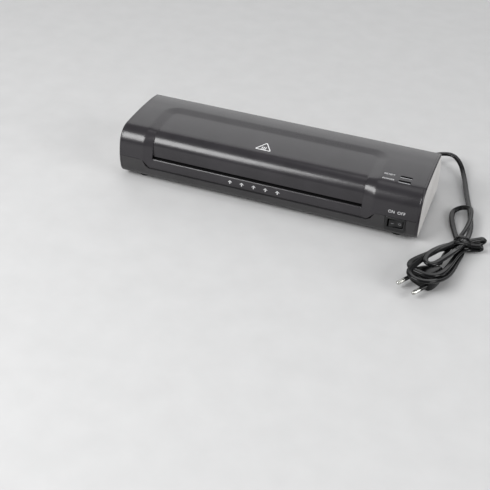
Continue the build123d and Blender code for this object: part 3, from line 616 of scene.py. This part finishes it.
def word(text, size, width, place, centre):
    """A generic word from the built-in letters, wrapped on to the surface by place(u, v)."""
    data = bpy.data.curves.new(text, "FONT")
    data.body = text
    data.size = 1.0
    data.resolution_u = 3
    holder = bpy.data.objects.new(text, data)
    bpy.context.scene.collection.objects.link(holder)
    bpy.context.view_layer.update()
    flat = bpy.data.meshes.new_from_object(holder)
    mesh = bmesh.new()
    mesh.from_mesh(flat)
    for item, store in ((holder, bpy.data.objects), (data, bpy.data.curves), (flat, bpy.data.meshes)):
        store.remove(item)
    xs, ys = [v.co.x for v in mesh.verts], [v.co.y for v in mesh.verts]
    stretch_x, stretch_y = width / (max(xs) - min(xs)), size / (max(ys) - min(ys))
    for vertex in mesh.verts:
        u = (vertex.co.x - (min(xs) + max(xs)) / 2) * stretch_x + centre[0]
        v = (vertex.co.y - (min(ys) + max(ys)) / 2) * stretch_y + centre[1]
        vertex.co = Vector(place(u, v)) * MM
    return mesh


def triangle(size, radius, steps=6):
    """A triangle with rounded corners, pointing to +v."""
    points = []
    for index in range(3):
        corner = math.radians(90 + 120 * index)
        reach = size - 2 * radius
        for step in range(steps + 1):
            angle = corner + math.radians(-60 + 120 * step / steps)
            points.append((reach * math.cos(corner) + radius * math.cos(angle),
                           reach * math.sin(corner) + radius * math.sin(angle)))
    return points


def make_marks():
    """Generic words, a plain caution triangle, and arrows for the feed direction."""
    # text, letter height, length, surface and middle
    words = [("ON", 3.1, 6.2, on_front, (134.0, 33.4)), ("OFF", 3.1, 7.8, on_front, (144.0, 33.4)),
             ("READY", 2.3, 11.0, on_top, (122.8, -27.2)), ("POWER", 2.3, 12.0, on_top, (123.2, -35.7))]
    shown("function_words", joined([word(*each) for each in words]), PRINT)

    # the triangle holds three heat bars over a plate, and no lettering
    middle_x, middle_y = -10.0, -26.2
    heat_bar, plate = rounded_rectangle(0.9, 4.2, 0.4), rounded_rectangle(6.2, 0.8, 0.35)
    shapes = [(triangle(10.4, 1.2), triangle(8.2, 0.7), 0, 0)]
    shapes += [(heat_bar, [], 1.9 * side, -0.6) for side in (-1, 0, 1)] + [(plate, [], 0, -3.8)]
    mark = [flat_print(outline, hole, lambda u, v, x=middle_x + dx, y=middle_y + dy: on_top(x + u, y + v))
            for outline, hole, dx, dy in shapes]
    shown("panel_mark", joined(mark), PRINT)

    head = [(-2.4, 0.2), (0.0, 2.4), (2.4, 0.2), (1.4, 0.2), (0.0, 1.45), (-1.4, 0.2)]
    shaft = rounded_rectangle(0.9, 2.6, 0.3)
    arrows = []
    for index in range(5):
        x = -10.5 + 13 * (index - 2)
        arrows += [flat_print(outline, [], lambda u, v, x=x, z=z: on_front(x + u, z + v))
                   for outline, z in ((head, 22.4), (shaft, 21.9))]
    shown("feed_arrows", joined(arrows), PRINT)


# ---- lenses, springs ----
def make_lenses():
    """Dark windows, sunk a little, each with a light strip on the front edge of its opening, a painted
    highlight.
    """
    edge = rounded_rectangle(LENS_LENGTH, 0.6, 0.25)
    for name, (y, width) in LENSES.items():
        rings = []
        for lift, shrink in ((-3.5, 0.15), (-1.2, 0.15), (-0.95, 0.2), (-0.85, 0.4)):
            outline = rounded_rectangle(LENS_LENGTH - 2 * shrink, width - 2 * shrink, 0.4)
            rings.append([on_top(LENS_X + u, y + v, lift) for u, v in outline])
        shown(name + "_window", rings_mesh(rings), FINISHES["lens"], replaces=[name])
        # the light strip along the front edge is a painted highlight
        front = y - width / 2 - 0.3
        shown(name + "_edge_highlight", flat_print(edge, [], lambda u, v: on_top(LENS_X + u, front + v)),
              FINISHES["lens_edge_highlight"])


def make_springs():
    """Compression springs over the bearing blocks, with closed end turns."""
    wire, mean, turns, per_turn = 0.36, 1.85, 5, 20
    travel = SPRING_HIGH - SPRING_LOW - 2 * wire
    meshes = []
    for x in PLATES:
        rings = []
        for index in range(turns * per_turn + 1):
            share = index / (turns * per_turn)
            angle = math.tau * turns * share
            rise = travel * eased((share - 0.12) / 0.76, 0.08)
            out = Vector((math.cos(angle), math.sin(angle), 0))
            centre = Vector((x, ROLLER_Y, SPRING_LOW + wire + rise)) + mean * out
            rings.append([centre + out * wire * math.cos(b) + Vector((0, 0, wire * math.sin(b)))
                          for b in (math.tau * k / 8 for k in range(8))])
        meshes.append(rings_mesh(rings))
    springs = shown("nip_spring_coils", joined(meshes), FINISHES["spring_steel"],
                    replaces=["nip_springs"])
    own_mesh(springs)


# ---- mains lead ----
CORD_WIDTH, CORD_THICKNESS, CORD_LENGTH = 5.6, 3.4, 1062.0
CORD_STEP = 1.5  # length between the rings of the lead's mesh
CORD_EXIT = (140.0, 82.0, 13.0)
LEAD_ROUTE = [
    CORD_EXIT, (140, 98, 13), (144.5, 112.5, 11.5), (154.5, 121.5, 11.5), (167, 121.5, 13), (177, 112, 9.5),
    (184, 97, 4.6), (190.8, 72, 3.2), (196.6, 48.4, 3.0), (202, 30, 3.1), (206, 12, 3.0), (208.8, -4, 3.1),
    (209.4, -18, 3.8), (208.8, -30.5, 5.6), (207.1, -41.7, 8.0),
]
# the small loop on the other side of the tie
LOOP_ROUTE = [
    (202.1, -40.4, 4.5), (197, -26, 3.5), (191.5, -10, 3.0), (187.4, 4.5, 3.2), (186, 17, 3.0),
    (188.8, 23.7, 3.6), (195.5, 26.5, 6.2), (202.2, 23.7, 8.9), (205, 15.5, 9.6), (206.6, 1, 9.8),
    (206.2, -14, 10.8), (204.6, -28, 11.8), (202.3, -40.4, 11.9),
]


def bundle_point(along, across, height):
    """A point given along and across the bundle from its tie."""
    cosine, sine = math.cos(BUNDLE_AXIS), math.sin(BUNDLE_AXIS)
    return (TIE[0] + along * cosine - across * sine, TIE[1] + along * sine + across * cosine, height)


# the long loops, given along and across the bundle from the tie, and in height
LOOP_A = [(7, -3.5, 9.5), (22, -8, 14), (38, -10.8, 18), (53, -11.8, 20.5), (63, -11.2, 21.5),
          (69, -8, 21.5), (70, -3, 21), (64, 0.5, 20.5), (51, 2.2, 19.5), (34, 3.5, 17), (18, 3.0, 13),
          (6, 2.2, 9.5)]
LOOP_B = [(7, -4.5, 6.0), (20, -7.5, 10), (34, -10.5, 14.5), (51, -14.5, 17), (65, -19, 17.8),
          (75, -21, 17.8), (81.5, -17, 17.8), (83, -9, 17.8), (82.5, 1, 17.8), (77, 8, 17.3), (64, 10, 15.5),
          (47, 8.6, 12.8), (28, 5.5, 9.5), (8, 3.8, 6.0)]
LOOP_C = [(7, -3.0, 12.5), (20, -5.5, 14.5), (38, -9, 17.5), (61, -12.5, 20.5), (79, -15, 19.5),
          (89, -15, 18.5), (94, -9.5, 18), (94.5, -1, 18), (90.5, 7.5, 18), (78, 12.6, 15), (60, 13.3, 10.0),
          (43, 10.8, 6.5), (24, 7, 4.0), (8, 5.2, 3.2)]
PLUG_TAIL = [(8, -5.0, 9.5), (22, -6.0, 8.8), (38, -4.0, 8.0), (45, -2.5, 7.6)]
# the short folds are pressed flat, a strand on a strand
FOLD_ONE = [(213, -38.5, 9.6), (219, -33.5, 9.2), (224, -29.5, 9.6), (226.5, -27.2, 6.9),
            (224, -29.5, 4.2), (219, -33.5, 4.9), (213, -38.8, 4.4)]
FOLD_TWO = [(213, -45.8, 3.6), (219, -43.8, 4.2), (223.5, -42.0, 3.8), (226.2, -41.2, 6.3),
            (223.5, -42.0, 8.8), (219, -43.6, 8.4), (213, -44.8, 8.8)]


def lead_route():
    """Exit, lead, tie, the long loops and short folds in turn, the small loop, and the plug."""
    loop_a, loop_b, loop_c, tail = ([bundle_point(*place) for place in run]
                                    for run in (LOOP_A, LOOP_B, LOOP_C, PLUG_TAIL))
    return LEAD_ROUTE + loop_a + FOLD_ONE + loop_b + FOLD_TWO + loop_c + LOOP_ROUTE + tail


def spline_points(name, route):
    """Points along the NURBS spline that has the route as its control points."""
    curve = bpy.data.curves.new(name, "CURVE")
    curve.dimensions = "3D"
    spline = curve.splines.new("NURBS")
    spline.points.add(len(route) - 1)
    for point, place in zip(spline.points, route):
        point.co = (*(Vector(place) * MM), 1)
    spline.order_u = 3
    spline.use_endpoint_u = True
    spline.resolution_u = 12
    holder = bpy.data.objects.new(name, curve)
    bpy.context.scene.collection.objects.link(holder)
    bpy.context.view_layer.update()
    mesh = bpy.data.meshes.new_from_object(holder)
    points = [v.co / MM for v in mesh.vertices]
    bpy.data.objects.remove(holder)
    bpy.data.curves.remove(curve)
    bpy.data.meshes.remove(mesh)
    return points


def evenly(points, spacing):
    """The same line with its points a given distance apart."""
    lengths = [0.0]
    for one, two in zip(points, points[1:]):
        lengths.append(lengths[-1] + (two - one).length)
    count = round(lengths[-1] / spacing)
    made, index = [], 0
    for step in range(count + 1):
        wanted = lengths[-1] * step / count
        while index < len(points) - 2 and lengths[index + 1] < wanted:
            index += 1
        share = (wanted - lengths[index]) / max(1e-9, lengths[index + 1] - lengths[index])
        made.append(points[index].lerp(points[index + 1], share))
    return made


def twin_section(width, thickness, steps=7):
    """Outline of a flat twin lead: two round cores side by side."""
    radius = thickness / 2
    shift = width / 2 - radius
    reach = math.pi - math.acos(shift / radius)
    right = [(shift + radius * math.cos(a), radius * math.sin(a))
             for a in (-reach + 2 * reach * i / steps for i in range(steps))]
    return right + [(-x, -z) for x, z in right]


def tube_along(points, section):
    """Sweeps a section along points with as little twist as can be."""
    rings = []
    side = None
    for index, point in enumerate(points):
        ahead = points[min(index + 1, len(points) - 1)] - points[max(index - 1, 0)]
        ahead.normalize()
        if side is None:
            side = ahead.cross(Vector((0, 0, 1))).normalized()
        side = (side - ahead * side.dot(ahead)).normalized()
        up = side.cross(ahead)
        rings.append([point + side * u + up * v for u, v in section])
    return rings_mesh(rings)


def make_cord():
    """The flat twin lead, swept along its route; the boot, tie, plug and pins on it are made apart."""
    points = evenly(spline_points("lead_route", lead_route()), CORD_STEP)
    mesh = tube_along(points, twin_section(CORD_WIDTH, CORD_THICKNESS))
    cord = shown("mains_lead", mesh, FINISHES["cord_plastic"], smooth=75,
                 replaces=["cord_lead", "cord_loop", "cord_hank", "cord_folds"])


def plug_place(along, across, height):
    """A point given from the middle of the plug's face, along its pins, across them and up."""
    cosine, sine = math.cos(PLUG_AXIS), math.sin(PLUG_AXIS)
    x, y, z = PLUG_FACE
    return (x + along * cosine - across * sine, y + along * sine + across * cosine, z + height)


def rounded_section(half_width, half_height, power, steps=28):
    """A ring between an ellipse (power 2) and a rectangle (large power)."""
    ring = []
    for index in range(steps):
        a = math.tau * index / steps
        c, s = math.cos(a), math.sin(a)
        ring.append((half_width * math.copysign(abs(c) ** (2 / power), c),
                     half_height * math.copysign(abs(s) ** (2 / power), s)))
    return ring


def make_plug():
    """Flat two-pin plug: a moulded body that tapers to the lead, sleeved pins with bright tips."""
    # along the plug, half width, half height, squareness
    body = [(-0.05, 11.0, 4.8, 4), (-0.3, 12.2, 5.6, 4), (-1.2, 13.2, 6.2, 4), (-4.5, 14.2, 6.5, 4),
            (-9, 14.0, 6.4, 3.6), (-14, 13.2, 6.1, 3.2), (-18, 11.8, 5.7, 3), (-22, 9.6, 5.2, 2.8),
            (-25.5, 7.2, 4.6, 2.5), (-28, 5.4, 4.1, 2.3), (-29.5, 4.6, 3.6, 2.2), (-30.6, 4.2, 3.3, 2.2),
            (-30.95, 3.4, 2.6, 2.2)]
    rings = [[plug_place(along, u, v) for u, v in rounded_section(half_width, half_height, power)]
             for along, half_width, half_height, power in body]
    plug = shown("plug_moulding", rings_mesh(rings), FINISHES["cord_plastic"],
                 replaces=["plug_body"])
    sleeve_profile = [(-1, 1.4), (-1, 1.95), (9.6, 1.95), (10, 1.8), (10, 1.2)]
    tip_profile = [(-6, 1.0), (9.8, 1.5), (9.8, PIN_RADIUS), (17.6, PIN_RADIUS), (18.5, 1.6), (18.9, 1.0),
                   (19.0, 0.3)]
    direction = Vector((math.cos(PLUG_AXIS), math.sin(PLUG_AXIS), 0))
    starts = [plug_place(0, side * PIN_SPACING / 2, 0) for side in (-1, 1)]
    sleeves, tips = ([lathe(profile, start, direction, 20) for start in starts]
                     for profile in (sleeve_profile, tip_profile))
    sleeve = shown("pin_sleeves", joined(sleeves), FINISHES["cord_plastic"])
    pins = shown("pin_tips", joined(tips), FINISHES["brass"], replaces=["plug_pins"])
    return [plug, sleeve, pins]


def make_tie():
    """A twist tie wound twice round the bundle, its ends twisted together on top."""
    turns, per_turn = 2, 40
    half_across, half_up, middle_height = 8.5, 7.4, 8.2
    wound = []
    for index in range(turns * per_turn + 1):
        share = index / (turns * per_turn)
        angle = math.tau * turns * share - math.pi / 2
        along, across, up = -1.2 + 2.4 * share, half_across * math.cos(angle), half_up * math.sin(angle)
        wound.append([bundle_point(along + u, across + math.cos(angle) * v,
                                   middle_height + up + math.sin(angle) * v)
                      for u, v in rounded_section(1.3, 0.45, 2.6, 12)])
    twisted, steps = [], 24
    for index in range(steps + 1):
        share = index / steps
        angle = math.tau * 2.2 * share
        along, across = 1.0 + 13 * share, 2.0 - 5 * share
        height = 15.6 + 1.6 * math.sin(math.pi * share)
        twisted.append([bundle_point(along, across + u * math.cos(angle) - v * math.sin(angle),
                                     height + u * math.sin(angle) + v * math.cos(angle))
                        for u, v in rounded_section(1.1, 0.6, 2.4, 12)])
    return shown("twist_tie", joined([rings_mesh(wound), rings_mesh(twisted)]), FINISHES["cord_plastic"],
                 replaces=["cord_tie"])


def make_strain_relief():
    """Tapered boot with deep ribs where the lead leaves the rear wall."""
    boot_length = 36.5
    # along the boot from inside the wall, and radius
    profile = [(0, 3.0), (0, 5.2), (2.6, 5.2), (2.7, 4.0), (11.8, 4.0), (11.9, 5.4), (12.3, 5.7),
               (14.6, 5.7), (15.1, 5.3)]
    for index in range(5):
        at = 16.0 + index * 4.0
        radius = 5.0 - 0.28 * index
        profile += [(at, radius - 0.9), (at + 0.9, radius - 0.9), (at + 1.1, radius), (at + 2.9, radius)]
    profile += [(36.2, 3.5), (boot_length, 3.1), (36.4, 1.8)]
    start = (CORD_EXIT[0], CORD_EXIT[1] - boot_length, CORD_EXIT[2])
    return shown("lead_boot", lathe(profile, start, (0, 1, 0), 32), FINISHES["cord_plastic"],
                 replaces=["strain_relief"])


# ---- carried-over CAD nodes ----
NODE_FINISH = {
    "base_plastic": ["base_shell"],
    "rubber": ["rubber_feet"],
    "zinc_screw": ["case_screws", "frame_screws", "motor_screws"],
    "board": ["led_board"],
    "led": ["leds"],
    "sheet_steel": ["left_side_plate", "right_side_plate", "spring_bridges", "motor_bracket", "motor_can"],
    "bush_plastic": ["lower_bushes", "bearing_blocks", "terminal_block"],
    "silicone": ["lower_roller_sleeve", "upper_roller_sleeve"],
    "shaft_steel": ["tie_rods", "lower_roller_shaft", "upper_roller_shaft", "lower_retaining_ring",
                    "upper_retaining_ring", "motor_shaft", "motor_spacers"],
    "aluminium": ["lower_heat_shell", "upper_heat_shell", "thermostat", "thermal_fuse"],
    "heater_foil": ["lower_heater_pad", "upper_heater_pad"],
    "guide_plastic": ["upper_entry_guide", "lower_entry_guide", "upper_exit_guide", "lower_exit_guide"],
    "gear_plastic": ["lower_roller_gear", "upper_roller_gear", "motor_pinion", "motor_gearbox"],
    "brass": ["switch_terminals"],
    "cord_plastic": ["inner_wires"],
}


def dress_nodes():
    """Gives the CAD nodes that the looks keep their finishes."""
    for finish, names in NODE_FINISH.items():
        for name in names:
            node = frame["nodes"][name]
            node.data.materials.clear()
            node.data.materials.append(FINISHES[finish])


# ---- set and camera ----
def make_floor():
    """A plain pale floor."""
    mesh = bmesh.new()
    bmesh.ops.create_grid(mesh, x_segments=1, y_segments=1, size=3.0)
    data = bpy.data.meshes.new("floor")
    mesh.to_mesh(data)
    mesh.free()
    floor = bpy.data.objects.new("floor", data)
    bpy.context.scene.collection.objects.link(floor)
    data.materials.append(finish_of("floor", (196, 196, 196), 0.75, grain=0.0, variation=0.01))


def softbox(name, place, target, width, height, power):
    """A rectangular lamp at a place, facing a target, in metres and watts."""
    data = bpy.data.lights.new(name, "AREA")
    data.shape = "RECTANGLE"
    data.size, data.size_y = width, height
    data.energy = power
    light = bpy.data.objects.new(name, data)
    light.location = place
    light.rotation_euler = (Vector(target) - Vector(place)).to_track_quat("-Z", "Y").to_euler()
    bpy.context.scene.collection.objects.link(light)


def make_lights():
    """A key above the front left, a wide box behind, a weak one overhead and one at the right end."""
    softbox("key", (-0.72, -1.0, 0.97), (-0.05, -0.05, 0.05), 0.95, 0.7, 24)
    softbox("wall", (-0.6, 1.7, 0.93), (0, 0, 0.2), 3.2, 1.75, 20)
    softbox("overhead", (0.4, 0.3, 1.8), (0.1, 0, 0), 1.4, 1.2, 5)
    softbox("side", (1.5, -0.2, 0.7), (0.16, 0, 0.03), 0.9, 0.9, 15)
    world = bpy.data.worlds.new("studio")
    world.use_nodes = True
    world.node_tree.nodes["Background"].inputs["Color"].default_value = (0.75, 0.76, 0.78, 1)
    world.node_tree.nodes["Background"].inputs["Strength"].default_value = 0.25
    bpy.context.scene.world = world
    bpy.context.scene.view_settings.view_transform = "Standard"


def make_camera():
    """The camera stands above the front right and looks down to the rear left."""
    data = bpy.data.cameras.new("camera")
    data.lens, data.sensor_width = 69.08, 36.0
    camera = bpy.data.objects.new("camera", data)
    right, up, back = (0.93561, 0.35069, 0.04060), (-0.23329, 0.52785, 0.81667), (0.26497, -0.77356, 0.57567)
    turn = Matrix((right, up, back)).transposed().to_4x4()
    camera.matrix_world = Matrix.Translation((0.2516, -0.8359, 0.5312)) @ turn
    bpy.context.scene.collection.objects.link(camera)
    bpy.context.scene.camera = camera


make_camera()
pieces = make_plug() + [make_tie(), make_strain_relief()]
make_cord()
make_cover()
make_caps()
make_bezel()
make_rocker()
make_lenses()
make_marks()
make_springs()
dress_nodes()
make_floor()
make_lights()
